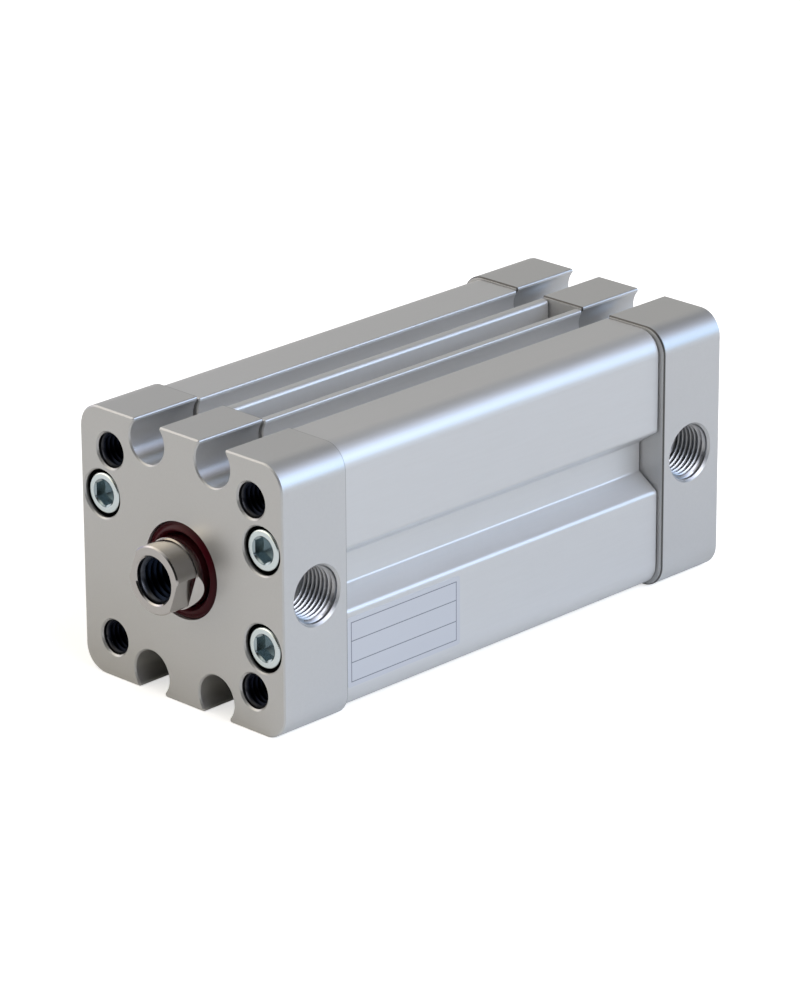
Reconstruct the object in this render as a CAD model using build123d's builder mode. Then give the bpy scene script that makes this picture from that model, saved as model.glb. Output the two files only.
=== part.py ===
"""A compact pneumatic cylinder, rod retracted.

The frame is the rod's: Y = 0 is the front cover's mounting face, the rod points along -Y, the barrel lies
along +Y, the ports face +X and +Z is up. All sizes are millimetres.
"""
from build123d import *
import os
from math import cos, radians, sin, sqrt

os.makedirs("parts", exist_ok=True)

# Driving sizes of the cylinder
bore_r = 16.0
stroke = 60.0
cover_len = 14.5
barrel_side_wall = 6.2        # bore to the barrel's sides
barrel_top_wall = 6.85        # bore to the barrel's top and bottom
cover_over = 1.05             # covers stand out past the barrel's sides
cover_corner_r = 4.3
barrel_corner_r = 4.0
edge_break = 0.25             # small chamfer on the covers' outer faces
seam_break = 0.25             # and on their edges next to the barrel
barrel_break = 0.2            # chamfer round the barrel's ends

# Fits
seat_gap = 0.02               # fixed pieces in their seats
run_gap = 0.03                # sliding and turning pieces
end_gap = 0.1                 # bumper to cover at each end of the stroke
pack_gap = 0.05               # round the magnet and the rings in the piston

# Mounting threads in the corners, at their major diameter
bolt_inset = 7.0              # from the covers' sides
bolt_r = 3.0
bolt_chamfer = 0.3
bolt_tip = 1.4                # cone left by the drill
bolt_floor = 1.1              # cover left behind it
chamfer_angle = 90            # of every thread's mouth

# Cover screws and their channels
screw_inset = 3.8             # from the barrel's sides
screw_z = 8.3
screw_r = 2.0
screw_len = 25.0
screw_gap = 0.2               # round the shank in the cover
screw_point = 0.5
head_r = 3.5
head_len = 4.0
head_round = 0.5
head_below = 0.4              # head under the cover's face
head_gap = 0.6                # round the head in its counterbore
head_mouth = 0.25             # chamfer of the counterbore
socket_flats = 4.0
socket_depth = 2.2

# Ports, at the thread's major diameter
port_offset = 0.25            # from the middle of the cover's length, inwards
port_r = 4.865
port_chamfer = 0.385
port_depth = 9.0
port_core_r = 3.0
air_r = 1.5
air_gap = 0.05                # air passage inside the collar

# Sensor grooves and middle channel of the barrel
groove_x = 7.55
groove_r = 3.4
groove_mouth = 5.7
groove_neck = 0.6             # straight part of the mouth
groove_r_over = 0.55          # the covers' grooves are this much wider
groove_mouth_over = 0.2
cover_neck = 0.55
lip_r = 0.3                   # rounding of the groove mouths
channel_half = 2.95
channel_sink = 4.75
channel_round = 0.7

# Recess in the barrel's sides
recess_depth = 4.0
recess_floor_half = 2.6
recess_mouth_half = 5.35
recess_round = 1.0
recess_crease = 0.5           # rounding along its floor

# Seats and collars that hold and centre the barrel
seat_ring = 1.1               # raised seat round the bore, which the barrel stands on
joint_gap = 0.15              # open joint between barrel and covers outside it
bore_lead = 0.4               # chamfer at the bore's mouths
collar_len = 2.6
collar_wall = 2.4
collar_gap = 0.1
collar_clear = 0.3            # piston to collar at each end of the stroke
barrel_seal_cord = 1.35
barrel_seal_wall = 0.5        # collar in front of its groove
barrel_seal_width = 1.7

# Rod
rod_r = 6.0
rod_out = 6.2                 # nose in front of the mounting face
nose_step = 0.2
nose_len = 4.3
nose_chamfer = 0.25
flats_half = 5.0              # half the width across the spanner flats
flats_len = 4.1
flats_run_out = 1.6
flats_turn = -20.0            # degrees, from +X towards +Z
rod_thread_r = 4.0
rod_thread_chamfer = 0.25
rod_thread_depth = 14.0
spigot_r = 4.0
spigot_point = 0.5

# Rod seal and bush in the front cover
seal_wall = 2.25              # seal's seat round the rod
seal_seat_len = 5.5
seal_recess = 0.35            # shoulder behind the cover's face
seal_rim = 0.85               # width of the shoulder, and depth of the groove inside it
wiper_out = 0.3               # wiper lip in front of the cover's face
wiper_crest = 0.65            # its front, out from the rod
wiper_root = 1.1              # its foot in the groove
wiper_blunt = 0.1
lip_land = 0.3                # band of a lip that touches
seal_relief = 0.35            # undercut between the two lips
relief_start = 0.8
pressure_lip_len = 1.6
pressure_lip_land = 0.5
pressure_lip_tip = 0.2
pressure_lip_wall = 0.8
pressure_slot = 0.7
pressure_slot_depth = 1.2
bush_wall = 1.0
bush_end_gap = 0.2

# Piston
piston_len = 9.0
piston_gap = 0.3              # aluminium to bore
piston_break = 0.25
rod_seat_depth = 1.0
outer_wall = 0.7              # piston in front of each lip seal
cup_width = 2.0
cup_depth = 2.7
cup_foot = 0.9                # lip seal's section, out from its groove's floor
cup_valley = 1.3
cup_valley_depth = 0.75
cup_heel = 1.9
cup_shoulder = 2.3
cup_shoulder_len = 0.7
cup_lip_len = 0.35
guide_gap = 0.05
guide_thick = 1.45
guide_len = 2.2
magnet_len = 2.2
magnet_width = 3.0
magnet_cover = 0.4            # inside the floor of the lip seals
rod_o_ring_cord = 1.15
rod_o_ring_width = 1.4
rod_o_ring_at = 1.9           # from the piston's front face
bumper_cover = 1.0            # inside the floor of the lip seals
bumper_seat = 1.0
vent_width = 2.0
vent_depth = 0.8

# Piston nut
hexagon = 6
hex_corner = 2 / sqrt(3)      # a hexagon's corner radius for each millimetre of half its flats
nut_flats = 13.0
nut_len = 4.0
nut_sunk = 2.0
nut_side_gap = 0.3
nut_relief = 2.5              # round the nut in the rear cover
nut_relief_depth = 2.0
bumper_in_gap = 0.8           # bumper round the nut
thread_past_nut = 0.5

# Label on the barrel's right side
label_len = 26.0
label_thick = 0.1
label_corner_r = 0.5
label_from_recess = 1.25
label_from_corner = 0.25
label_from_joint = 0.6

# Working values for cuts
cut_over = 1.0                # a cut runs past the face that it starts at
tiny = 1e-3

# Section that follows from these sizes
barrel_half_x = bore_r + barrel_side_wall
barrel_half_z = bore_r + barrel_top_wall
half = barrel_half_x + cover_over
square = 2 * half
groove_z = barrel_half_z - groove_neck - sqrt(groove_r**2 - (groove_mouth / 2) ** 2)
cover_groove_r = groove_r + groove_r_over
cover_mouth = groove_mouth + groove_mouth_over
cover_groove_z = half - cover_neck - sqrt(cover_groove_r**2 - (cover_mouth / 2) ** 2)
recess_floor_x = barrel_half_x - recess_depth
channel_floor_z = barrel_half_z - channel_sink
screw_x = barrel_half_x - screw_inset
head_hole_r = head_r + head_gap
collar_out_r = bore_r - collar_gap
collar_in_r = collar_out_r - collar_wall
barrel_seal_floor_r = bore_r - barrel_seal_cord - 2 * seat_gap
air_x = collar_in_r - air_r - air_gap
seal_seat_r = rod_r + seal_wall
bush_r = rod_r + bush_wall
bush_len = cover_len - seal_seat_len - 2 * bush_end_gap
piston_r = bore_r - piston_gap
cup_floor_r = piston_r - cup_depth
guide_out_r = bore_r - guide_gap
guide_floor_r = guide_out_r - guide_thick
magnet_out_r = cup_floor_r - magnet_cover
magnet_in_r = magnet_out_r - magnet_width
nut_corner_r = nut_flats / 2 * hex_corner
bumper_out_r = cup_floor_r - bumper_cover
bumper_in_r = nut_corner_r + nut_side_gap + bumper_in_gap
bumper_stand = collar_len + collar_clear

# Stations along Y that follow from them
bolt_depth = cover_len - bolt_floor - bolt_tip
port_y = cover_len / 2 + port_offset
front_joint = cover_len
barrel_len = stroke + piston_len + 2 * (bumper_stand + end_gap)
rear_joint = front_joint + barrel_len
overall = rear_joint + cover_len
barrel_seal_y = front_joint + barrel_seal_wall + barrel_seal_width / 2
piston_back = rear_joint - end_gap - bumper_stand
piston_front = piston_back - piston_len
piston_middle = (piston_front + piston_back) / 2
rod_shoulder = piston_front + rod_seat_depth
nut_front = piston_back - nut_sunk
rod_back = nut_front + nut_len + thread_past_nut

# Places of the grooves, the corner threads and the cover screws
quadrants = [(x, z) for x in (-1, 1) for z in (-1, 1)]
bolt_places = [(x * (half - bolt_inset), z * (half - bolt_inset)) for x, z in quadrants]
screw_places = {
    "upper_left": (-screw_x, screw_z),
    "upper_right": (screw_x, screw_z),
    "lower_right": (screw_x, -screw_z),
}


def station(y):
    """Plane square to the axis at y: X to the right, Z up, extruded along +Y by a negative amount."""
    return Plane.XZ.offset(-y)


def hole_along_y(centres, radius, y, length):
    """Cut round holes that run along +Y from station y."""
    with BuildSketch(station(y)) as holes:
        with Locations(*centres):
            Circle(radius)
    extrude(holes.sketch, amount=-length, mode=Mode.SUBTRACT)


def groove_cut(x, z, radius, mouth, face_z):
    """Cut one sensor groove, a round bulb with a narrower mouth, out of a section sketch."""
    side = 1 if face_z > 0 else -1
    reach = abs(face_z) - z
    with Locations((x, side * z)):
        Circle(radius, mode=Mode.SUBTRACT)
    with Locations((x, side * (z + reach / 2))):
        Rectangle(mouth, reach, mode=Mode.SUBTRACT)


def lip_corners(sketch, mouth, face_z):
    """Corners where the sensor grooves' mouths meet the outer faces."""
    return [
        corner
        for corner in sketch.vertices()
        if abs(abs(abs(corner.X) - groove_x) - mouth / 2) < tiny and abs(abs(corner.Y) - face_z) < tiny
    ]


def corners_at(sketch, x, z):
    """Corners of a section at (x, z), on all its four sides."""
    return [
        corner
        for corner in sketch.vertices()
        if abs(abs(corner.X) - x) < tiny and abs(abs(corner.Y) - z) < tiny
    ]


def edges_at(piece, y):
    """Edges of a piece that lie in the plane at station y."""
    return [edge for edge in piece.edges() if abs(edge.center().Y - y) < tiny]


def ring_profile(points):
    """Turn an outline of (y, radius) points into a ring about the rod's axis."""
    with BuildSketch(Plane.YZ) as profile:
        with BuildLine():
            Polyline(*points, close=True)
        make_face()
    revolve(profile.sketch, axis=Axis.Y)


def cord_ring(y, radius, cord):
    """A ring of round cord about the rod's axis."""
    with BuildSketch(Plane.YZ) as section:
        with Locations((y, radius)):
            Circle(cord / 2)
    revolve(section.sketch, axis=Axis.Y)


def finish(piece, name):
    """Name a finished piece and write its file."""
    piece.part.label = name
    export_step(piece.part, f"parts/{name}.step")


# Cover blank, in the front cover's place, shared by both covers
with BuildPart() as cover:
    with BuildSketch(station(0)) as cover_section:
        RectangleRounded(square, square, cover_corner_r)
        for side_x, side_z in quadrants:
            groove_cut(side_x * groove_x, cover_groove_z, cover_groove_r, cover_mouth, side_z * half)
        fillet(lip_corners(cover_section.sketch_local, cover_mouth, half), lip_r)
    extrude(amount=joint_gap - cover_len)
    chamfer(edges_at(cover, 0), edge_break)
    chamfer(edges_at(cover, cover_len - joint_gap), seam_break)
    with BuildSketch(station(cover_len - joint_gap)):
        Circle(bore_r + seat_ring)
    extrude(amount=-joint_gap)
    with BuildSketch(station(front_joint)):
        Circle(collar_out_r)
        Circle(collar_in_r, mode=Mode.SUBTRACT)
    extrude(amount=-collar_len)
    with BuildSketch(station(front_joint + barrel_seal_wall)):
        Circle(collar_out_r)
        Circle(barrel_seal_floor_r, mode=Mode.SUBTRACT)
    extrude(amount=-barrel_seal_width, mode=Mode.SUBTRACT)
    with Locations(station(0)):
        with Locations(*bolt_places):
            CounterSinkHole(bolt_r, bolt_r + bolt_chamfer, bolt_depth, chamfer_angle)
        with Locations(*screw_places.values()):
            CounterSinkHole(head_hole_r, head_hole_r + head_mouth, head_below + head_len, chamfer_angle)
    with Locations(Plane(origin=(0, bolt_depth + bolt_tip / 2, 0), x_dir=(1, 0, 0), z_dir=(0, 1, 0))):
        with Locations(*bolt_places):
            Cone(bolt_r, 0, bolt_tip, mode=Mode.SUBTRACT)
    hole_along_y(screw_places.values(), screw_r + screw_gap, 0, cover_len)
    with Locations(Plane.YZ.offset(half)):
        with Locations((port_y, 0)):
            CounterSinkHole(port_r, port_r + port_chamfer, port_depth, chamfer_angle)
            Hole(port_core_r, half - air_x + air_r)
    hole_along_y([(air_x, 0)], air_r, port_y, cover_len - port_y)

# Front cover: the blank, with the rod's opening
with BuildPart() as front_cover:
    add(cover.part)
    hole_along_y([(0, 0)], seal_seat_r, 0, seal_seat_len)
    hole_along_y([(0, 0)], bush_r, 0, cover_len)
finish(front_cover, "front_cover")

# Rear cover: the blank turned round end for end, with a relief for the piston nut
with BuildPart() as rear_cover:
    mirror(cover.part, about=station(overall / 2))
    hole_along_y([(0, 0)], nut_corner_r + nut_relief, rear_joint, nut_relief_depth)
finish(rear_cover, "rear_cover")

# Barrel: one extruded section
with BuildPart() as barrel:
    with BuildSketch(station(front_joint)) as barrel_section:
        RectangleRounded(2 * barrel_half_x, 2 * barrel_half_z, barrel_corner_r)
        for side_x, side_z in quadrants:
            groove_cut(side_x * groove_x, groove_z, groove_r, groove_mouth, side_z * barrel_half_z)
        for side in (-1, 1):
            with BuildLine():
                Polyline(
                    (side * recess_floor_x, -recess_floor_half),
                    (side * recess_floor_x, recess_floor_half),
                    (side * barrel_half_x, recess_mouth_half),
                    (side * (barrel_half_x + cut_over), recess_mouth_half),
                    (side * (barrel_half_x + cut_over), -recess_mouth_half),
                    (side * barrel_half_x, -recess_mouth_half),
                    close=True,
                )
            make_face(mode=Mode.SUBTRACT)
            with BuildLine():
                Polyline(
                    (-channel_half, side * channel_floor_z),
                    (channel_half, side * channel_floor_z),
                    (channel_half, side * barrel_half_z),
                    (-channel_half, side * barrel_half_z),
                    close=True,
                )
            make_face(mode=Mode.SUBTRACT)
        fillet(lip_corners(barrel_section.sketch_local, groove_mouth, barrel_half_z), lip_r)
        for corner_x, corner_z, radius in (
            (channel_half, barrel_half_z, channel_round),
            (barrel_half_x, recess_mouth_half, recess_round),
            (recess_floor_x, recess_floor_half, recess_crease),
        ):
            fillet(corners_at(barrel_section.sketch_local, corner_x, corner_z), radius)
        Circle(bore_r, mode=Mode.SUBTRACT)
        with Locations(*[(x * screw_x, z * screw_z) for x, z in quadrants]):
            Circle(screw_r + run_gap, mode=Mode.SUBTRACT)
    extrude(amount=-barrel_len)
    bore_mouths = [
        edge
        for edge in barrel.edges().filter_by(GeomType.CIRCLE)
        if abs(edge.radius - bore_r) < tiny and edge.length > bore_r
    ]
    chamfer(bore_mouths, bore_lead)
    for end in (0, -1):
        chamfer(barrel.faces().sort_by(Axis.Y)[end].outer_wire().edges(), barrel_break)
finish(barrel, "barrel")

# Type label, set on the barrel's lower right land
label_top = -recess_mouth_half - label_from_recess
label_bottom = barrel_corner_r + label_from_corner - barrel_half_z
with BuildPart() as type_label:
    with BuildSketch(Plane.YZ.offset(barrel_half_x)):
        with Locations((front_joint + label_from_joint + label_len / 2, (label_top + label_bottom) / 2)):
            RectangleRounded(label_len, label_top - label_bottom, label_corner_r)
    extrude(amount=label_thick)
finish(type_label, "type_label")

# Cover screws, three at each end, along -Y from the rear and +Y from the front
for place, (x, z) in screw_places.items():
    with BuildPart() as screw:
        with BuildSketch(station(head_below)):
            with Locations((x, z)):
                Circle(head_r)
        extrude(amount=-head_len)
        fillet(edges_at(screw, head_below), head_round)
        with BuildSketch(station(head_below)):
            with Locations((x, z)):
                RegularPolygon(socket_flats / 2, hexagon, major_radius=False)
        extrude(amount=-socket_depth, mode=Mode.SUBTRACT)
        with BuildSketch(station(head_below + head_len)):
            with Locations((x, z)):
                Circle(screw_r)
        extrude(amount=-screw_len)
        chamfer(edges_at(screw, head_below + head_len + screw_len), screw_point)
    finish(screw, f"front_cover_screw_{place}")
    with BuildPart() as rear_screw:
        mirror(screw.part, about=station(overall / 2))
    finish(rear_screw, f"rear_cover_screw_{place}")

# Seals on the covers' collars
barrel_seal_mid_r = bore_r - seat_gap - barrel_seal_cord / 2
for name, y in (("front_barrel_seal", barrel_seal_y), ("rear_barrel_seal", overall - barrel_seal_y)):
    with BuildPart() as barrel_seal:
        cord_ring(y, barrel_seal_mid_r, barrel_seal_cord)
    finish(barrel_seal, name)

# Rod seal: wiper lip in front, a groove round it, and the pressure lip behind
seal_out_r = seal_seat_r - seat_gap
seal_back = seal_seat_len - seat_gap
touch_r = rod_r + run_gap
with BuildPart() as rod_seal:
    ring_profile([
        (seal_recess, seal_out_r),
        (seal_recess, seal_out_r - seal_rim),
        (seal_recess + seal_rim, rod_r + wiper_root),
        (wiper_blunt - wiper_out, rod_r + wiper_crest),
        (-wiper_out, touch_r + wiper_blunt),
        (lip_land - wiper_out, touch_r),
        (seal_recess + relief_start, touch_r + seal_relief),
        (seal_seat_len - pressure_lip_len, touch_r + seal_relief),
        (seal_seat_len - pressure_lip_land, touch_r),
        (seal_back, touch_r + pressure_lip_tip),
        (seal_back, touch_r + pressure_lip_wall),
        (seal_back - pressure_slot_depth, touch_r + pressure_lip_wall + pressure_slot / 2),
        (seal_back, touch_r + pressure_lip_wall + pressure_slot),
        (seal_back, seal_out_r),
    ])
finish(rod_seal, "rod_seal")

# Rod bush, pressed into the front cover behind the seal
with BuildPart() as rod_bush:
    with BuildSketch(station(seal_seat_len + bush_end_gap)):
        Circle(bush_r - seat_gap)
        Circle(rod_r + run_gap, mode=Mode.SUBTRACT)
    extrude(amount=-bush_len)
finish(rod_bush, "rod_bush")

# Piston rod: nose with spanner flats, rod, and a spigot through the piston
flats_plane = Plane(
    origin=(0, 0, 0),
    x_dir=(0, 1, 0),
    z_dir=(sin(radians(flats_turn)), 0, -cos(radians(flats_turn))),
)
with BuildPart() as piston_rod:
    with BuildSketch(station(-rod_out)):
        Circle(rod_r - nose_step)
    extrude(amount=-nose_len)
    chamfer(edges_at(piston_rod, -rod_out), nose_chamfer)
    with BuildSketch(station(nose_len - rod_out)):
        Circle(rod_r)
    extrude(amount=-(rod_shoulder - nose_len + rod_out))
    with BuildSketch(station(rod_shoulder)):
        Circle(spigot_r)
    extrude(amount=-(rod_back - rod_shoulder))
    chamfer(edges_at(piston_rod, rod_back), spigot_point)
    for side in (-1, 1):
        with BuildSketch(flats_plane):
            with BuildLine():
                Polyline(
                    (-rod_out - cut_over, side * flats_half),
                    (flats_len - rod_out, side * flats_half),
                    (flats_len + 2 * flats_run_out - rod_out, side * (2 * rod_r - flats_half)),
                    (flats_len + 2 * flats_run_out - rod_out, side * 2 * rod_r),
                    (-rod_out - cut_over, side * 2 * rod_r),
                    close=True,
                )
            make_face()
        extrude(amount=2 * rod_r, both=True, mode=Mode.SUBTRACT)
    with Locations(station(-rod_out)):
        CounterSinkHole(rod_thread_r, rod_thread_r + rod_thread_chamfer, rod_thread_depth, chamfer_angle)
finish(piston_rod, "piston_rod")

# Piston halves, front and rear, made alike about the joint between them
cup_near = piston_front + outer_wall
for name, is_rear in (("piston_front_half", False), ("piston_rear_half", True)):
    with BuildPart() as piston_half:
        with BuildSketch(station(piston_front)):
            Circle(piston_r)
            Circle(spigot_r + seat_gap, mode=Mode.SUBTRACT)
        extrude(amount=-piston_len / 2)
        chamfer(piston_half.edges().group_by(Axis.Y)[0].sort_by(SortBy.RADIUS)[-1], piston_break)
        with BuildSketch(station(cup_near)):
            Circle(piston_r)
            Circle(cup_floor_r, mode=Mode.SUBTRACT)
        extrude(amount=-cup_width, mode=Mode.SUBTRACT)
        with BuildSketch(station(piston_middle - guide_len / 2 - pack_gap)):
            Circle(piston_r)
            Circle(guide_floor_r, mode=Mode.SUBTRACT)
        extrude(amount=-guide_len, mode=Mode.SUBTRACT)
        with BuildSketch(station(piston_middle - magnet_len / 2 - pack_gap)):
            Circle(magnet_out_r + pack_gap)
            Circle(magnet_in_r - pack_gap, mode=Mode.SUBTRACT)
        extrude(amount=-magnet_len, mode=Mode.SUBTRACT)
        with BuildSketch(station(piston_front)):
            Circle(bumper_out_r + pack_gap)
            Circle(bumper_in_r - pack_gap, mode=Mode.SUBTRACT)
        extrude(amount=-bumper_seat, mode=Mode.SUBTRACT)
        if is_rear:
            hole_along_y([(0, 0)], nut_corner_r + nut_side_gap, piston_front, nut_sunk)
            mirror(piston_half.part, about=station(piston_middle), mode=Mode.REPLACE)
        else:
            hole_along_y([(0, 0)], rod_r + seat_gap, piston_front, rod_seat_depth)
            o_ring_out_r = spigot_r + rod_o_ring_cord + 2 * seat_gap
            hole_along_y([(0, 0)], o_ring_out_r, piston_front + rod_o_ring_at, rod_o_ring_width)
    finish(piston_half, name)

# Magnet and guide ring, between the piston halves
with BuildPart() as magnet_ring:
    with BuildSketch(station(piston_middle - magnet_len / 2)):
        Circle(magnet_out_r)
        Circle(magnet_in_r, mode=Mode.SUBTRACT)
    extrude(amount=-magnet_len)
finish(magnet_ring, "magnet_ring")

with BuildPart() as piston_guide_ring:
    with BuildSketch(station(piston_middle - guide_len / 2)):
        Circle(guide_out_r)
        Circle(guide_floor_r + run_gap, mode=Mode.SUBTRACT)
    extrude(amount=-guide_len)
finish(piston_guide_ring, "piston_guide_ring")

# Lip seals, open towards the pressure on their own side
cup_front = cup_near + run_gap
cup_back = cup_near + cup_width - run_gap
cup_base = cup_floor_r + run_gap
with BuildPart() as lip_seal:
    ring_profile([
        (cup_front, cup_base),
        (cup_back, cup_base),
        (cup_back, cup_base + cup_heel),
        (cup_back - cup_shoulder_len, cup_base + cup_shoulder),
        (cup_front + cup_lip_len, guide_out_r),
        (cup_front, guide_out_r),
        (cup_front + cup_valley_depth, cup_base + cup_valley),
        (cup_front, cup_base + cup_foot),
    ])
finish(lip_seal, "front_piston_seal")
with BuildPart() as rear_lip_seal:
    mirror(lip_seal.part, about=station(piston_middle))
finish(rear_lip_seal, "rear_piston_seal")

# Static seal between the spigot and the piston
rod_o_ring_y = piston_front + rod_o_ring_at + rod_o_ring_width / 2
with BuildPart() as rod_o_ring:
    cord_ring(rod_o_ring_y, spigot_r + seat_gap + rod_o_ring_cord / 2, rod_o_ring_cord)
finish(rod_o_ring, "rod_o_ring")

# Bumpers, with vents across their outer faces
vent_span = 2 * (bumper_out_r + cut_over)
with BuildPart() as bumper:
    with BuildSketch(station(piston_front - bumper_stand)):
        Circle(bumper_out_r)
        Circle(bumper_in_r, mode=Mode.SUBTRACT)
    extrude(amount=-(bumper_stand + bumper_seat))
    with BuildSketch(station(piston_front - bumper_stand)):
        Rectangle(vent_span, vent_width)
        Rectangle(vent_width, vent_span)
    extrude(amount=-vent_depth, mode=Mode.SUBTRACT)
finish(bumper, "front_bumper")
with BuildPart() as rear_bumper:
    mirror(bumper.part, about=station(piston_middle))
finish(rear_bumper, "rear_bumper")

# Nut that clamps the piston on the rod
with BuildPart() as piston_nut:
    with BuildSketch(station(nut_front)):
        RegularPolygon(nut_flats / 2, hexagon, major_radius=False)
        Circle(spigot_r + seat_gap, mode=Mode.SUBTRACT)
    extrude(amount=-nut_len)
finish(piston_nut, "piston_nut")
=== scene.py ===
import bpy
import bmesh
from math import cos, radians, sin, sqrt, tau
from mathutils import Matrix, Vector


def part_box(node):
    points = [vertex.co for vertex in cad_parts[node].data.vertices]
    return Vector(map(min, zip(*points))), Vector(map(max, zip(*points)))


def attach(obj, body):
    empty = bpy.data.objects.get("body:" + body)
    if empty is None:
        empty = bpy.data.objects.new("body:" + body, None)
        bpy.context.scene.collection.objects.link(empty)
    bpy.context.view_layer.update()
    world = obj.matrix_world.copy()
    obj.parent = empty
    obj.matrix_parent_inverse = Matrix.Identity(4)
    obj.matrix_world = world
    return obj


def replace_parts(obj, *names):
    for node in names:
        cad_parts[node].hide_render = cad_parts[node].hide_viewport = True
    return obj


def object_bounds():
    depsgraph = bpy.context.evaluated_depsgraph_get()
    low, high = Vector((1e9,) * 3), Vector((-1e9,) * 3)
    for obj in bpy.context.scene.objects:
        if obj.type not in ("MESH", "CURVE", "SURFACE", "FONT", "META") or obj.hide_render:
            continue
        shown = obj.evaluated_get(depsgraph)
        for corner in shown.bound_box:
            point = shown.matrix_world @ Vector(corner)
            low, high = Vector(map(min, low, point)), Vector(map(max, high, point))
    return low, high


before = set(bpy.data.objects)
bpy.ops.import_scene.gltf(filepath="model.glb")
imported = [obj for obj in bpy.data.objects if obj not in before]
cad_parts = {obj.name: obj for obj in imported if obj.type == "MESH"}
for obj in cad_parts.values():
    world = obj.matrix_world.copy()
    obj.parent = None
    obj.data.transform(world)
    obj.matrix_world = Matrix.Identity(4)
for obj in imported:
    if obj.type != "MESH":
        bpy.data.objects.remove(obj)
cadLow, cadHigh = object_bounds()
mm = 0.001
weld = 1e-7            # points nearer than this become one
tolerance = 1e-6       # how far a ring's points may lie off the radius and depth asked for
scene = bpy.context.scene
scene.view_settings.view_transform = "Standard"
print("frame loaded:", len(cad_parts), "nodes")

# where the covers, the barrel and the rod lie, read from the frame
frontLow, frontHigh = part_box("front_cover")
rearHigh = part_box("rear_cover")[1]
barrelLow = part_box("barrel")[0]
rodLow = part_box("piston_rod")[0]
housingMiddle = (frontLow.y + rearHigh.y) / 2
housingHalf = (rearHigh.y - frontLow.y) / 2


# the way towards an azimuth and elevation, where azimuth 0 is -Y and 90 is +X
def awayTo(azimuth, elevation):
    a, e = radians(azimuth), radians(elevation)
    return Vector((sin(a) * cos(e), -cos(a) * cos(e), sin(e)))


# camera, standing where the photograph was taken from
cameraView = {
    "azimuth": 44.41,
    "elevation": 20.993,
    "roll": -0.315,
    "eye": (0.555275, -0.516819, 0.302643),
    "focalPixels": 5106.28,
    "imageLong": 1000,
    "sensor": 36.0,
    "nearest": 0.01,
    "farthest": 20,
}


def makeCamera(view):
    back = awayTo(view["azimuth"], view["elevation"])
    roll = radians(view["roll"])
    flatRight = Vector((0, 0, 1)).cross(back).normalized()
    flatUp = back.cross(flatRight)
    right = cos(roll) * flatRight + sin(roll) * flatUp
    up = cos(roll) * flatUp - sin(roll) * flatRight
    data = bpy.data.cameras.new("photoCamera")
    data.sensor_width = view["sensor"]
    data.lens = view["focalPixels"] * view["sensor"] / view["imageLong"]
    data.clip_start = view["nearest"]
    data.clip_end = view["farthest"]
    camera = bpy.data.objects.new("photoCamera", data)
    scene.collection.objects.link(camera)
    turn = Matrix((right, up, back)).transposed().to_4x4()
    camera.matrix_world = Matrix.Translation(view["eye"]) @ turn
    scene.camera = camera


makeCamera(cameraView)
print("camera placed")


# gives a socket another node's output, or else a constant
def feed(tree, socket, value):
    if isinstance(value, bpy.types.NodeSocket):
        tree.links.new(value, socket)
    else:
        socket.default_value = value


# adds a node, sets its options and then feeds its inputs, by name or by number
def addNode(tree, kind, inputs=None, **options):
    node = tree.nodes.new(kind)
    for key, value in options.items():
        setattr(node, key, value)
    for key, value in (inputs or {}).items():
        feed(tree, node.inputs[key], value)
    return node


def mixColours(tree, factor, first, second, blend="MIX"):
    inputs = {"Factor": factor, "A": first, "B": second}
    return addNode(tree, "ShaderNodeMix", inputs, data_type="RGBA", blend_type=blend).outputs["Result"]


# floor and backdrop, white to the camera and still holding a soft shadow
studio = {
    "floorSize": 3.0,
    "floorDrop": 0.00002,
    "floorColour": (0.8, 0.79, 0.76),
    "floorRoughness": 0.9,
    "floorSpecular": 0.1,
    "floorWhite": 0.62,
    "white": (1, 1, 1, 1),
    "air": (0.02, 0.02, 0.02),
    "fullShare": 0.18,       # the share of a soft box's reach that has its full light
}

# soft boxes far round the object, by direction; reach is the half angle of each
softBoxes = {
    "rightWindow": {"azimuth": 115, "elevation": 12, "reach": 45, "light": (0.22, 0.53, 1.08)},
    "rightStrip": {"azimuth": 110, "elevation": 8, "reach": 28, "light": (1.16, 1.21, 1.17)},
    "rearStrip": {"azimuth": 135, "elevation": 12, "reach": 28, "light": (0.41, 0.58, 0.7)},
    "rightLamp": {"azimuth": 95, "elevation": 30, "reach": 28, "light": (2.32, 2.22, 2.02)},
    "rightBox": {"azimuth": 105, "elevation": 42, "reach": 45, "light": (1.42, 1.5, 1.81)},
    "topBox": {"azimuth": 0, "elevation": 90, "reach": 45, "light": (0.53, 0.47, 0.34)},
    "leftWall": {"azimuth": 225, "elevation": 12, "reach": 45, "light": (0.4, 0.39, 0.36)},
    "leftWindow": {"azimuth": 270, "elevation": 12, "reach": 45, "light": (0.6, 0.6, 0.75)},
    "frontWall": {"azimuth": 315, "elevation": 12, "reach": 45, "light": (1.47, 1.3, 0.98)},
    "frontBox": {"azimuth": 315, "elevation": 42, "reach": 45, "light": (0.57, 0.58, 0.59)},
}


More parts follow.
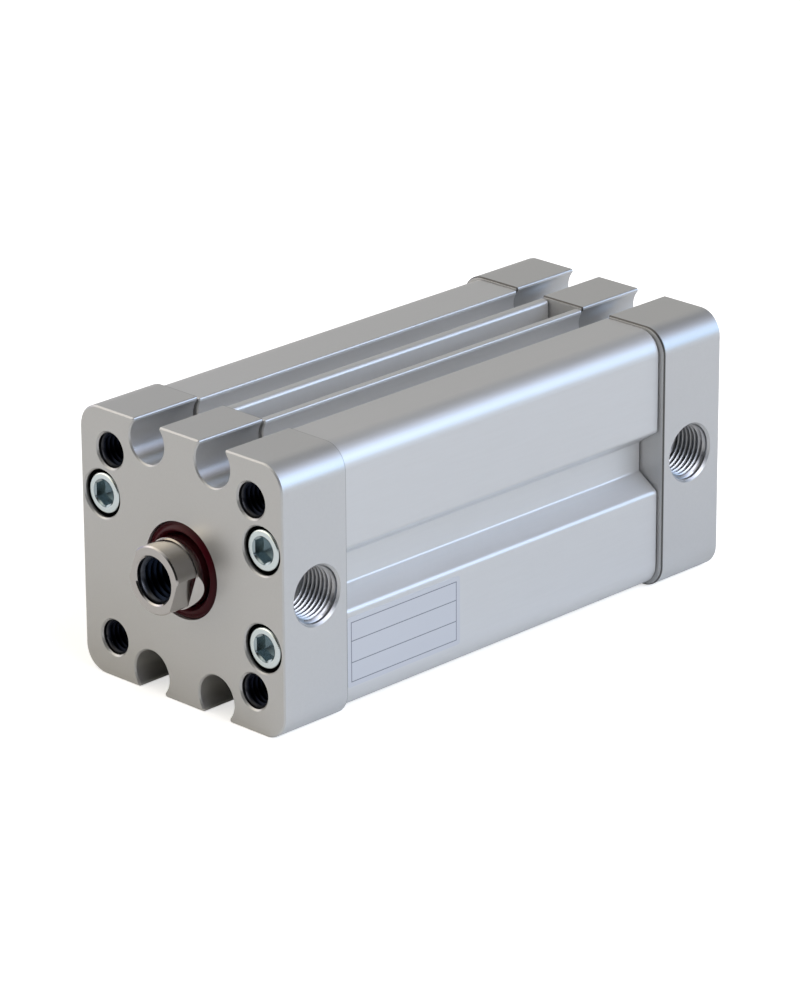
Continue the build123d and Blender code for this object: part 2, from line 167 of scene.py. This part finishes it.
def makeFloor(s):
    mesh = bpy.data.meshes.new("floor")
    bm = bmesh.new()
    bmesh.ops.create_grid(bm, x_segments=1, y_segments=1, size=s["floorSize"])
    bmesh.ops.translate(bm, verts=bm.verts, vec=(0, 0, cadLow.z - s["floorDrop"]))
    bm.to_mesh(mesh)
    bm.free()
    floor = bpy.data.objects.new("floor", mesh)
    scene.collection.objects.link(floor)
    material = bpy.data.materials.new("paperFloor")
    material.use_nodes = True
    tree = material.node_tree
    seen = addNode(tree, "ShaderNodeLightPath").outputs["Is Camera Ray"]
    glow = addNode(tree, "ShaderNodeMath", {0: seen, 1: s["floorWhite"]}, operation="MULTIPLY")
    shader = tree.nodes["Principled BSDF"]
    feed(tree, shader.inputs["Base Color"], (*s["floorColour"], 1))
    feed(tree, shader.inputs["Roughness"], s["floorRoughness"])
    feed(tree, shader.inputs["Specular IOR Level"], s["floorSpecular"])
    feed(tree, shader.inputs["Emission Color"], s["white"])
    feed(tree, shader.inputs["Emission Strength"], glow.outputs[0])
    mesh.materials.append(material)


def makeAir(s, boxes):
    world = bpy.data.worlds.new("studioAir")
    scene.world = world
    world.use_nodes = True
    tree = world.node_tree
    direction = addNode(tree, "ShaderNodeTexCoord").outputs["Generated"]
    total = s["air"]
    for box in boxes.values():
        middle = awayTo(box["azimuth"], box["elevation"])
        towards = addNode(tree, "ShaderNodeVectorMath", {0: direction, 1: middle}, operation="DOT_PRODUCT")
        edge = addNode(tree, "ShaderNodeMapRange", {
            "Value": towards.outputs["Value"],
            "From Min": cos(radians(box["reach"])),
            "From Max": cos(radians(box["reach"] * s["fullShare"])),
        }, interpolation_type="SMOOTHSTEP").outputs["Result"]
        light = addNode(tree, "ShaderNodeVectorMath", {0: box["light"], "Scale": edge}, operation="SCALE")
        sums = {0: total, 1: light.outputs["Vector"]}
        total = addNode(tree, "ShaderNodeVectorMath", sums, operation="ADD").outputs["Vector"]
    air = tree.nodes["Background"]
    feed(tree, air.inputs["Color"], total)
    backdrop = addNode(tree, "ShaderNodeBackground", {"Color": s["white"]})
    seen = addNode(tree, "ShaderNodeLightPath").outputs["Is Camera Ray"]
    mix = addNode(tree, "ShaderNodeMixShader", {"Fac": seen, 1: air.outputs[0], 2: backdrop.outputs[0]})
    feed(tree, tree.nodes["World Output"].inputs["Surface"], mix.outputs[0])


makeFloor(studio)
makeAir(studio, softBoxes)
print("stage and soft boxes made")


# what a finish has where its own dictionary doesn't say otherwise
plainFinish = {
    "stretch": (1, 1, 1),
    "bumpDepth": 0.00002,
    "specular": 0.5,
    "driftDetail": 3,
    "grainDetail": 4,
    "grainRoughness": 0.6,
}


# one builder for all metal, rubber and plastic finishes: colour drift, grain bump and roughness drift
def makeFinish(name, own):
    f = plainFinish | own
    material = bpy.data.materials.new(name)
    material.use_nodes = True
    tree = material.node_tree
    place = addNode(tree, "ShaderNodeTexCoord").outputs["Object"]
    stretched = addNode(tree, "ShaderNodeMapping", {"Vector": place, "Scale": f["stretch"]})
    drift = addNode(tree, "ShaderNodeTexNoise", {
        "Vector": place, "Scale": f["driftScale"], "Detail": f["driftDetail"],
    }).outputs["Fac"]
    grain = addNode(tree, "ShaderNodeTexNoise", {
        "Vector": stretched.outputs["Vector"], "Scale": f["grainScale"],
        "Detail": f["grainDetail"], "Roughness": f["grainRoughness"],
    }).outputs["Fac"]
    tint = mixColours(tree, drift, (*f["colour"], 1), (*f["driftColour"], 1))
    gloss = addNode(tree, "ShaderNodeMapRange", {
        "Value": grain,
        "To Min": f["roughness"] - f["roughDrift"],
        "To Max": f["roughness"] + f["roughDrift"],
    })
    bump = addNode(tree, "ShaderNodeBump", {
        "Strength": f["bump"], "Distance": f["bumpDepth"], "Height": grain,
    })
    shader = tree.nodes["Principled BSDF"]
    feed(tree, shader.inputs["Metallic"], f["metallic"])
    feed(tree, shader.inputs["Specular IOR Level"], f["specular"])
    feed(tree, shader.inputs["Base Color"], mixColours(tree, f["speckle"], tint, grain, "MULTIPLY"))
    feed(tree, shader.inputs["Roughness"], gloss.outputs["Result"])
    feed(tree, shader.inputs["Normal"], bump.outputs["Normal"])
    return material


coverFinish = makeFinish("satinCover", {
    "colour": (0.62, 0.62, 0.615), "driftColour": (0.58, 0.58, 0.575), "driftScale": 18,
    "grainScale": 2600, "speckle": 0.08, "metallic": 0.65,
    "roughness": 0.31, "roughDrift": 0.05, "bump": 0.25,
})
barrelFinish = makeFinish("anodisedBarrel", {
    "colour": (0.66, 0.66, 0.655), "driftColour": (0.63, 0.63, 0.625), "driftScale": 12,
    "stretch": (1, 0.06, 1), "grainScale": 1800, "speckle": 0.06, "metallic": 0.6,
    "roughness": 0.36, "roughDrift": 0.05, "bump": 0.12,
})
chromeFinish = makeFinish("groundChrome", {
    "colour": (0.6, 0.575, 0.555), "driftColour": (0.54, 0.515, 0.495), "driftScale": 40,
    "stretch": (1, 12, 1), "grainScale": 500, "speckle": 0.06, "metallic": 1.0,
    "roughness": 0.13, "roughDrift": 0.03, "bump": 0.08, "bumpDepth": 0.00001,
})
zincFinish = makeFinish("zincPlate", {
    "colour": (0.86, 0.93, 0.93), "driftColour": (0.74, 0.84, 0.86), "driftScale": 300,
    "grainScale": 1500, "speckle": 0.1, "metallic": 1.0,
    "roughness": 0.22, "roughDrift": 0.06, "bump": 0.1,
})
wiperFinish = makeFinish("redWiper", {
    "colour": (0.065, 0.003, 0.008), "driftColour": (0.04, 0.002, 0.005), "driftScale": 200,
    "grainScale": 2000, "speckle": 0.15, "metallic": 0.0,
    "roughness": 0.3, "roughDrift": 0.06, "bump": 0.08, "specular": 0.12,
})
foilFinish = makeFinish("paleFoil", {
    "colour": (0.6, 0.61, 0.64), "driftColour": (0.57, 0.58, 0.61), "driftScale": 60,
    "grainScale": 3000, "speckle": 0.04, "metallic": 0.5,
    "roughness": 0.4, "roughDrift": 0.05, "bump": 0.05,
})
rubberFinish = makeFinish("blackRubber", {
    "colour": (0.016, 0.016, 0.017), "driftColour": (0.028, 0.028, 0.029), "driftScale": 120,
    "grainScale": 2500, "speckle": 0.2, "metallic": 0.0,
    "roughness": 0.6, "roughDrift": 0.08, "bump": 0.2,
})
bronzeFinish = makeFinish("sinteredBronze", {
    "colour": (0.5, 0.3, 0.13), "driftColour": (0.42, 0.24, 0.1), "driftScale": 150,
    "grainScale": 3500, "speckle": 0.35, "metallic": 1.0,
    "roughness": 0.45, "roughDrift": 0.1, "bump": 0.4, "bumpDepth": 0.00003,
})
turnedFinish = makeFinish("turnedAluminium", {
    "colour": (0.7, 0.7, 0.7), "driftColour": (0.65, 0.65, 0.65), "driftScale": 40,
    "stretch": (1, 30, 1), "grainScale": 400, "speckle": 0.1, "metallic": 1.0,
    "roughness": 0.3, "roughDrift": 0.06, "bump": 0.15,
})
magnetFinish = makeFinish("bondedMagnet", {
    "colour": (0.03, 0.03, 0.033), "driftColour": (0.05, 0.05, 0.052), "driftScale": 90,
    "grainScale": 2800, "speckle": 0.3, "metallic": 0.2,
    "roughness": 0.5, "roughDrift": 0.1, "bump": 0.3,
})
guideFinish = makeFinish("guidePlastic", {
    "colour": (0.1, 0.16, 0.13), "driftColour": (0.13, 0.19, 0.16), "driftScale": 90,
    "grainScale": 2600, "speckle": 0.15, "metallic": 0.0,
    "roughness": 0.45, "roughDrift": 0.08, "bump": 0.15,
})
bumperFinish = makeFinish("bumperRubber", {
    "colour": (0.03, 0.032, 0.035), "driftColour": (0.05, 0.052, 0.055), "driftScale": 70,
    "grainScale": 2000, "speckle": 0.2, "metallic": 0.0,
    "roughness": 0.55, "roughDrift": 0.08, "bump": 0.2,
})


# how far a point lies from a middle on the cylinder's axis, along X, Y and Z
def placeFrom(tree, middleY):
    place = addNode(tree, "ShaderNodeTexCoord").outputs["Object"]
    centred = addNode(tree, "ShaderNodeMapping", {"Vector": place, "Location": (0, -middleY, 0)})
    folded = addNode(tree, "ShaderNodeVectorMath", {0: centred.outputs["Vector"]}, operation="ABSOLUTE")
    return addNode(tree, "ShaderNodeSeparateXYZ", {"Vector": folded.outputs["Vector"]}).outputs


# mixes a colour over the base colour that a finish has so far
def layOver(material, share, colour):
    tree = material.node_tree
    base = tree.nodes["Principled BSDF"].inputs["Base Color"]
    feed(tree, base, mixColours(tree, share, base.links[0].from_socket, (*colour, 1)))


# holes with painted shade that deepens inwards: the finish reads how far a point lies inside a hole's mouth
# along Y
def makeShadedHoleFinish(name, f):
    material = makeFinish(name, f)
    tree = material.node_tree
    inside = addNode(tree, "ShaderNodeMapRange", {
        "Value": placeFrom(tree, f["middleY"])["Y"],
        "From Min": f["mouth"],
        "From Max": f["mouth"] - f["darkBy"],
    })
    layOver(material, inside.outputs["Result"], f["paintedShadeColour"])
    return material


screwMiddle = sum(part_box("front_cover_screw_upper_right"), Vector()) / 2
jointGap = 0.15 * mm
seamDepth = barrelLow.y - frontLow.y - jointGap         # where a cover's block ends, short of the barrel

# painted shade in recesses of the covers, mixed into their colour so they are darker than their faces; the
# depths count from the cover's outer face
paintedRecessShades = {
    # painted shade: near-black round the screw heads in the counterbores
    "counterbores": {
        "at": (screwMiddle.x, screwMiddle.z), "radius": 4.13 * mm,
        "from": 0.3 * mm, "by": 0.8 * mm, "to": 5.2 * mm,
        "colour": (0.006, 0.006, 0.007), "share": 1.0,
    },
    # painted shade: the sensor grooves turn darker deeper into the covers
    "grooves": {
        "at": (7.55 * mm, 20.073 * mm), "radius": 3.97 * mm,
        "from": 0.0, "by": 12 * mm, "to": 20 * mm,
        "colour": (0.05, 0.055, 0.07), "share": 0.3,
    },
    # painted shade in a narrow band at the cover's edge along the joint with the barrel
    "seam": {
        "at": (0, 0), "radius": 1.0,
        "from": seamDepth - 0.36 * mm, "by": seamDepth - 0.24 * mm, "to": seamDepth - 0.03 * mm,
        "colour": (0.03, 0.026, 0.022), "share": 0.85,
    },
}


# paints shade into one recess; the four quarters and both covers are folded onto one, so that one place
# stands for the alike ones
def paintRecessShade(material, c):
    tree = material.node_tree
    place = placeFrom(tree, housingMiddle)
    flat = addNode(tree, "ShaderNodeCombineXYZ", {"X": place["X"], "Z": place["Z"]}).outputs["Vector"]
    spot = (c["at"][0], 0, c["at"][1])
    away = addNode(tree, "ShaderNodeVectorMath", {0: flat, 1: spot}, operation="DISTANCE").outputs["Value"]
    near = addNode(tree, "ShaderNodeMath", {0: away, 1: c["radius"]}, operation="LESS_THAN")
    deeper = addNode(tree, "ShaderNodeMapRange", {
        "Value": place["Y"],
        "From Min": housingHalf - c["from"],
        "From Max": housingHalf - c["by"],
        "To Max": c["share"],
    })
    deepest = housingHalf - c["to"]
    shallow = addNode(tree, "ShaderNodeMath", {0: place["Y"], 1: deepest}, operation="GREATER_THAN")
    share = near.outputs[0]
    for other in (deeper.outputs["Result"], shallow.outputs[0]):
        share = addNode(tree, "ShaderNodeMath", {0: share, 1: other}, operation="MULTIPLY").outputs[0]
    layOver(material, share, c["colour"])


for recess in paintedRecessShades.values():
    paintRecessShade(coverFinish, recess)
# threads in the holes: coloured darker than the covers at the mouth, with painted shade deepening to
# near-black inwards
boltHoleFinish = makeShadedHoleFinish("tappedHole", {
    "colour": (0.34, 0.34, 0.35), "driftColour": (0.26, 0.26, 0.27), "driftScale": 400,
    "grainScale": 1500, "speckle": 0.2, "metallic": 1.0,
    "roughness": 0.35, "roughDrift": 0.08, "bump": 0.15,
    "middleY": housingMiddle, "mouth": housingHalf, "darkBy": 1.2 * mm, "paintedShadeColour": (0.008, 0.01, 0.018),
})
rodHoleFinish = makeShadedHoleFinish("tappedRod", {
    "colour": (0.3, 0.31, 0.33), "driftColour": (0.22, 0.23, 0.26), "driftScale": 400,
    "grainScale": 1500, "speckle": 0.2, "metallic": 1.0,
    "roughness": 0.3, "roughDrift": 0.08, "bump": 0.15,
    "middleY": (cadLow.y + cadHigh.y) / 2, "mouth": (cadHigh.y - cadLow.y) / 2,
    "darkBy": 1.6 * mm, "paintedShadeColour": (0.008, 0.012, 0.024),
})
# painted shade inside the screws' hexagon sockets: a darker, bluer zinc colour
socketShadeFinish = makeFinish("paintedSocketShade", {
    "colour": (0.46, 0.54, 0.57), "driftColour": (0.34, 0.42, 0.45), "driftScale": 300,
    "grainScale": 1500, "speckle": 0.1, "metallic": 1.0,
    "roughness": 0.2, "roughDrift": 0.06, "bump": 0.1,
})
portFinish = makeFinish("cutAluminium", {
    "colour": (0.6, 0.6, 0.6), "driftColour": (0.48, 0.48, 0.49), "driftScale": 500,
    "grainScale": 1200, "speckle": 0.15, "metallic": 1.0,
    "roughness": 0.36, "roughDrift": 0.06, "bump": 0.1,
})
inkFinish = makeFinish("greyInk", {
    "colour": (0.16, 0.17, 0.2), "driftColour": (0.2, 0.21, 0.24), "driftScale": 300,
    "grainScale": 4000, "speckle": 0.1, "metallic": 0.0,
    "roughness": 0.5, "roughDrift": 0.05, "bump": 0.05, "bumpDepth": 0.000005,
})

finishOfSlot = {
    "cover_aluminium": coverFinish,
    "barrel_aluminium": barrelFinish,
    "rod_steel": chromeFinish,
    "screw_steel": zincFinish,
    "nut_steel": zincFinish,
    "wiper_red": wiperFinish,
    "label_foil": foilFinish,
    "seal_black": rubberFinish,
    "bumper_rubber": bumperFinish,
    "bush_bronze": bronzeFinish,
    "piston_aluminium": turnedFinish,
    "magnet_black": magnetFinish,
    "guide_plastic": guideFinish,
}
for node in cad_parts.values():
    for place in node.material_slots:
        place.material = finishOfSlot[place.material.name]
print("finishes set on the nodes")


def isVert(part):
    return isinstance(part, bmesh.types.BMVert)


# how far a point lies from the Z axis
def radiusOf(v):
    return Vector(v.co.xy).length


# a chain of (radius, depth) points, in mm, spun about Z into a skin
def lathe(bm, points, steps, closed=False):
    verts = [bm.verts.new((r * mm, 0, z * mm)) for r, z in points]
    edges = [bm.edges.new(pair) for pair in zip(verts, verts[1:])]
    if closed:
        edges.append(bm.edges.new((verts[-1], verts[0])))
    bmesh.ops.spin(bm, geom=verts + edges, cent=(0, 0, 0), axis=(0, 0, 1), angle=tau,
                   steps=steps, use_merge=True)
    bmesh.ops.remove_doubles(bm, verts=bm.verts, dist=weld)      # closes the poles


# rounds the ring that a lathed shape has at one radius and depth, all in mm
def roundRing(bm, radius, depth, width, segments):
    def isOn(v):
        return abs(radiusOf(v) - radius * mm) < tolerance and abs(v.co.z - depth * mm) < tolerance

    ring = [edge for edge in bm.edges if all(isOn(v) for v in edge.verts)]
    bmesh.ops.bevel(bm, geom=ring, offset=width * mm, offset_type="OFFSET", affect="EDGES",
                    segments=segments, profile=0.5, material=-1, clamp_overlap=True)


# how every thread's ridge is drawn, in shares of the pitch but for the last two, which are in mm
ridge = {
    "foot": 0.495,          # half width inside the wall
    "flank": 0.42,          # half width where it leaves the wall
    "crest": 0.09,          # half width of the crest
    "growsFrom": 0.1,       # how far before the start it begins to leave a hole's wall
    "growsOver": 0.6,       # over what depth it then reaches its height
    "linerEnd": 0.6,        # how far past the start the smooth liner at a hole's mouth ends
    "sunk": 0.01,           # how deep the foot lies in the wall, and how far off it the flank starts
    "liner": 0.012,         # how far the liner stands off the wall
}


# a helical ridge about Z, standing on the wall of a hole or on a shank
def addThread(bm, t):
    side = ridge["sunk"] if t["crest"] < t["wall"] else -ridge["sunk"]
    foot, flank, crest = (t["pitch"] * ridge[key] for key in ("foot", "flank", "crest"))
    deep, skin, top = t["wall"] + side, t["wall"] - side, t["crest"]
    corners = [(deep, -foot), (skin, -foot), (skin, -flank), (top, -crest),
               (top, crest), (skin, flank), (skin, foot), (deep, foot)]
    verts = [bm.verts.new((r * mm, 0, (t["start"] + z) * mm)) for r, z in corners]
    face = bm.faces.new(verts)
    steps = round(t["turns"] * t["steps"])
    bmesh.ops.spin(bm, geom=[face, *face.edges, *face.verts], cent=(0, 0, 0), axis=(0, 0, 1),
                   angle=tau * t["turns"], steps=steps, dvec=(0, 0, t["pitch"] * mm / t["steps"]))


# makes a mesh an object of the part, shaded smooth but for its sharp edges
def addPiece(name, bm, finish, body, sharp=32):
    bmesh.ops.remove_doubles(bm, verts=bm.verts, dist=weld)
    bmesh.ops.recalc_face_normals(bm, faces=bm.faces)
    mesh = bpy.data.meshes.new(name)
    bm.to_mesh(mesh)
    bm.free()
    mesh.shade_smooth()
    mesh.set_sharp_from_angle(angle=radians(sharp))
    mesh.materials.append(finish)
    piece = bpy.data.objects.new(name, mesh)
    scene.collection.objects.link(piece)
    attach(piece, body)
    return piece


# threads cut in the covers and in the rod's nose; the CAD holes are their major diameters
intoFront = Matrix.Rotation(radians(-90), 4, "X")      # turns +Z to +Y
intoRear = Matrix.Rotation(radians(90), 4, "X")        # to -Y
intoPort = Matrix.Rotation(radians(-90), 4, "Y")       # to -X
boltThread = {
    "pitch": 1.0, "wall": 3.0, "crest": 2.48, "chamfer": 0.31,
    "start": 0.82, "turns": 10.7, "steps": 40,
}
portThread = {
    "pitch": 0.907, "wall": 4.865, "crest": 4.35, "chamfer": 0.4,
    "start": 0.86, "turns": 8.2, "steps": 64,
}
rodThread = {
    "pitch": 1.25, "wall": 4.0, "crest": 3.4, "chamfer": 0.26,
    "start": 0.89, "turns": 9.9, "steps": 48,
}
boltInset = 7.0 * mm
portMiddle = 7.5 * mm


def makeHoleThread(name, t, turn, places, finish, body):
    bm = bmesh.new()
    addThread(bm, t)
    skin = (t["wall"] - ridge["sunk"]) * mm
    growsFrom = (t["start"] - ridge["growsFrom"] * t["pitch"]) * mm
    growsOver = ridge["growsOver"] * t["pitch"] * mm
    for v in bm.verts:                                  # the ridge grows out of the wall over half a turn
        r = radiusOf(v)
        if r < skin:
            grown = min(1, (v.co.z - growsFrom) / growsOver)
            wanted = skin + (r - skin) * grown
            v.co.x *= wanted / r
            v.co.y *= wanted / r
    inner, outer = t["wall"] - ridge["liner"], t["wall"] + ridge["sunk"]
    low, high = t["chamfer"], t["start"] + ridge["linerEnd"] * t["pitch"]
    lathe(bm, [(inner, low), (outer, low), (outer, high), (inner, high)], t["steps"], closed=True)
    bmesh.ops.dissolve_degenerate(bm, dist=weld, edges=bm.edges)
    bmesh.ops.transform(bm, matrix=turn, verts=bm.verts)
    first = bm.verts[:] + bm.edges[:] + bm.faces[:]
    for place in places[1:]:
        copied = bmesh.ops.duplicate(bm, geom=first)["geom"]
        bmesh.ops.translate(bm, vec=place, verts=list(filter(isVert, copied)))
    bmesh.ops.translate(bm, vec=places[0], verts=list(filter(isVert, first)))
    return addPiece(name, bm, finish, body, sharp=50)


boltX = frontHigh.x - boltInset
boltPlaces = [(x, z) for x in (-boltX, boltX) for z in (-boltX, boltX)]
makeHoleThread("frontBoltThreads", boltThread, intoFront, [(x, frontLow.y, z) for x, z in boltPlaces],
               boltHoleFinish, "housing")
makeHoleThread("rearBoltThreads", boltThread, intoRear, [(x, rearHigh.y, z) for x, z in boltPlaces],
               boltHoleFinish, "housing")
makeHoleThread("portThreads", portThread, intoPort,
               [(frontHigh.x, frontLow.y + portMiddle, 0), (rearHigh.x, rearHigh.y - portMiddle, 0)],
               portFinish, "housing")
makeHoleThread("rodThread", rodThread, intoFront, [(0, rodLow.y, 0)], rodHoleFinish, "rod")
print("threads cut")


# cover screws: round head with a broken rim, hexagon socket with a drilled floor, threaded shank
screwShape = {
    "entryRadius": 2.42, "entryDepth": 0.28,
    "socketFlats": 4.0, "socketSides": 6, "socketDepth": 2.2,
    "drillRadius": 1.98, "drillDepth": 2.95,
    "headRadius": 3.5, "headLength": 4.0,
    "rimRound": 0.42, "rimSegments": 5,
    "underRound": 0.2, "underSegments": 2,
    "neckRadius": 1.95, "plainEnd": 13.0, "runOut": 0.4,
    "rootRadius": 1.62, "end": 29.0, "point": 0.5,
    "steps": 60,
}
screwThread = {"pitch": 0.7, "wall": 1.6, "crest": 1.97, "start": 13.6, "turns": 21, "steps": 24}


def makeScrew(name, s, turn, place):
    bm = bmesh.new()
    lathe(bm, [
        (s["entryRadius"], 0), (s["headRadius"], 0), (s["headRadius"], s["headLength"]),
        (s["neckRadius"], s["headLength"]), (s["neckRadius"], s["plainEnd"]),
        (s["rootRadius"], s["plainEnd"] + s["runOut"]), (s["rootRadius"], s["end"] - s["point"]),
        (s["rootRadius"] - s["point"], s["end"]), (0, s["end"]),
    ], s["steps"])
    roundRing(bm, s["headRadius"], 0, s["rimRound"], s["rimSegments"])
    roundRing(bm, s["headRadius"], s["headLength"], s["underRound"], s["underSegments"])
    mouth = [e for e in bm.edges if e.is_boundary]

    cornerRadius = s["socketFlats"] * mm / sqrt(3)
    bmesh.ops.create_circle(bm, segments=s["socketSides"], radius=cornerRadius, cap_ends=False)
    cuts = s["steps"] // s["socketSides"] - 1
    bmesh.ops.subdivide_edges(bm, edges=[e for e in bm.edges if e.is_wire], cuts=cuts)
    ring = [e for e in bm.edges if e.is_wire]
    bmesh.ops.translate(bm, vec=(0, 0, s["entryDepth"] * mm), verts=list({v for e in ring for v in e.verts}))
    bmesh.ops.bridge_loops(bm, edges=mouth + ring)
    stages = ((s["socketDepth"], None), (s["socketDepth"], s["drillRadius"]), (s["drillDepth"], 0.0))
    for depth, radius in stages:                        # the socket's wall, its floor and the drill's cone
        grown = bmesh.ops.extrude_edge_only(bm, edges=ring)["geom"]
        ring = [e for e in grown if isinstance(e, bmesh.types.BMEdge) and e.is_boundary]
        for v in filter(isVert, grown):
            share = 1 if radius is None else radius * mm / radiusOf(v)
            v.co = (v.co.x * share, v.co.y * share, depth * mm)
    bmesh.ops.remove_doubles(bm, verts=bm.verts, dist=weld)
    for face in bm.faces:
        middle = face.calc_center_median()
        if middle.z < s["drillDepth"] * mm and Vector(middle.xy).length < s["entryRadius"] * mm:
            face.material_index = 1                     # the socket's painted shade, appended below
    addThread(bm, screwThread)
    bmesh.ops.transform(bm, matrix=Matrix.Translation(place) @ turn, verts=bm.verts)
    screw = addPiece(name, bm, zincFinish, "housing")
    screw.data.materials.append(socketShadeFinish)
    return screw


for corner in ("upper_left", "upper_right", "lower_right"):
    for end, turn in (("front", intoFront), ("rear", intoRear)):
        node = f"{end}_cover_screw_{corner}"
        low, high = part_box(node)
        face = low.y if end == "front" else high.y
        place = ((low.x + high.x) / 2, face, (low.z + high.z) / 2)
        screw = makeScrew(f"{end}Screw_{corner}", screwShape, turn, place)
        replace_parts(screw, node)
print("cover screws made")


# rod seal: red wiper lip round the rod, a moulded groove, and the pressure lip inside
wiperShape = {
    "outline": [
        (8.2, 0.62), (8.0, 0.5), (7.75, 0.52), (7.5, 0.3), (7.0, -0.12), (6.78, -0.16),
        (6.55, 0.2), (6.05, 0.95), (6.05, 1.1), (6.38, 1.5), (6.38, 3.9), (6.05, 5.0),
        (6.25, 5.46), (6.82, 5.46), (7.15, 4.3), (7.52, 5.46), (8.2, 5.46),
    ],
    "rounds": [             # radius, depth and width
        (8.0, 0.5, 0.06), (7.75, 0.52, 0.08), (7.5, 0.3, 0.1),
        (7.0, -0.12, 0.07), (6.78, -0.16, 0.05), (7.15, 4.3, 0.15),
    ],
    "roundSegments": 3,
    "steps": 144,
}


def makeWiper(w):
    bm = bmesh.new()
    lathe(bm, w["outline"], w["steps"], closed=True)
    for radius, depth, width in w["rounds"]:
        roundRing(bm, radius, depth, width, w["roundSegments"])
    bmesh.ops.transform(bm, matrix=Matrix.Translation((0, frontLow.y, 0)) @ intoFront, verts=bm.verts)
    return addPiece("rodWiper", bm, wiperFinish, "housing", sharp=60)


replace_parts(makeWiper(wiperShape), "rod_seal")
print("rod seal made")


# blank type label: a thin printed border and two rules, nothing else
labelPrint = {"margin": 0.8, "line": 0.16, "proud": 0.006, "rules": (-1.8, 1.9)}


def makeLabelPrint(p):
    low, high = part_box("type_label")
    middle = (low + high) / 2
    margin, line = p["margin"] * mm, p["line"] * mm
    wide, tall = high.y - low.y - 2 * margin, high.z - low.z - 2 * margin
    bm = bmesh.new()
    bmesh.ops.create_grid(bm, x_segments=1, y_segments=1, size=0.5)
    bmesh.ops.scale(bm, vec=(wide, tall, 1), verts=bm.verts)
    rim = bmesh.ops.inset_region(bm, faces=bm.faces[:], thickness=line, use_even_offset=True,
                                 use_boundary=True)["faces"]
    bmesh.ops.delete(bm, geom=[f for f in bm.faces if f not in rim], context="FACES_ONLY")
    for z in p["rules"]:
        strip = bmesh.ops.create_grid(bm, x_segments=1, y_segments=1, size=0.5)["verts"]
        bmesh.ops.scale(bm, vec=(wide - line, line, 1), verts=strip)
        bmesh.ops.translate(bm, vec=(0, z * mm, 0), verts=strip)
    upright = Matrix.Rotation(radians(90), 4, "Z") @ Matrix.Rotation(radians(90), 4, "X")
    bmesh.ops.transform(bm, matrix=Matrix.Translation((high.x, middle.y, middle.z)) @ upright, verts=bm.verts)
    grown = bmesh.ops.extrude_face_region(bm, geom=bm.faces[:])["geom"]
    bmesh.ops.translate(bm, vec=(p["proud"] * mm, 0, 0), verts=list(filter(isVert, grown)))
    return addPiece("labelPrint", bm, inkFinish, "housing")


makeLabelPrint(labelPrint)
print("label printed")
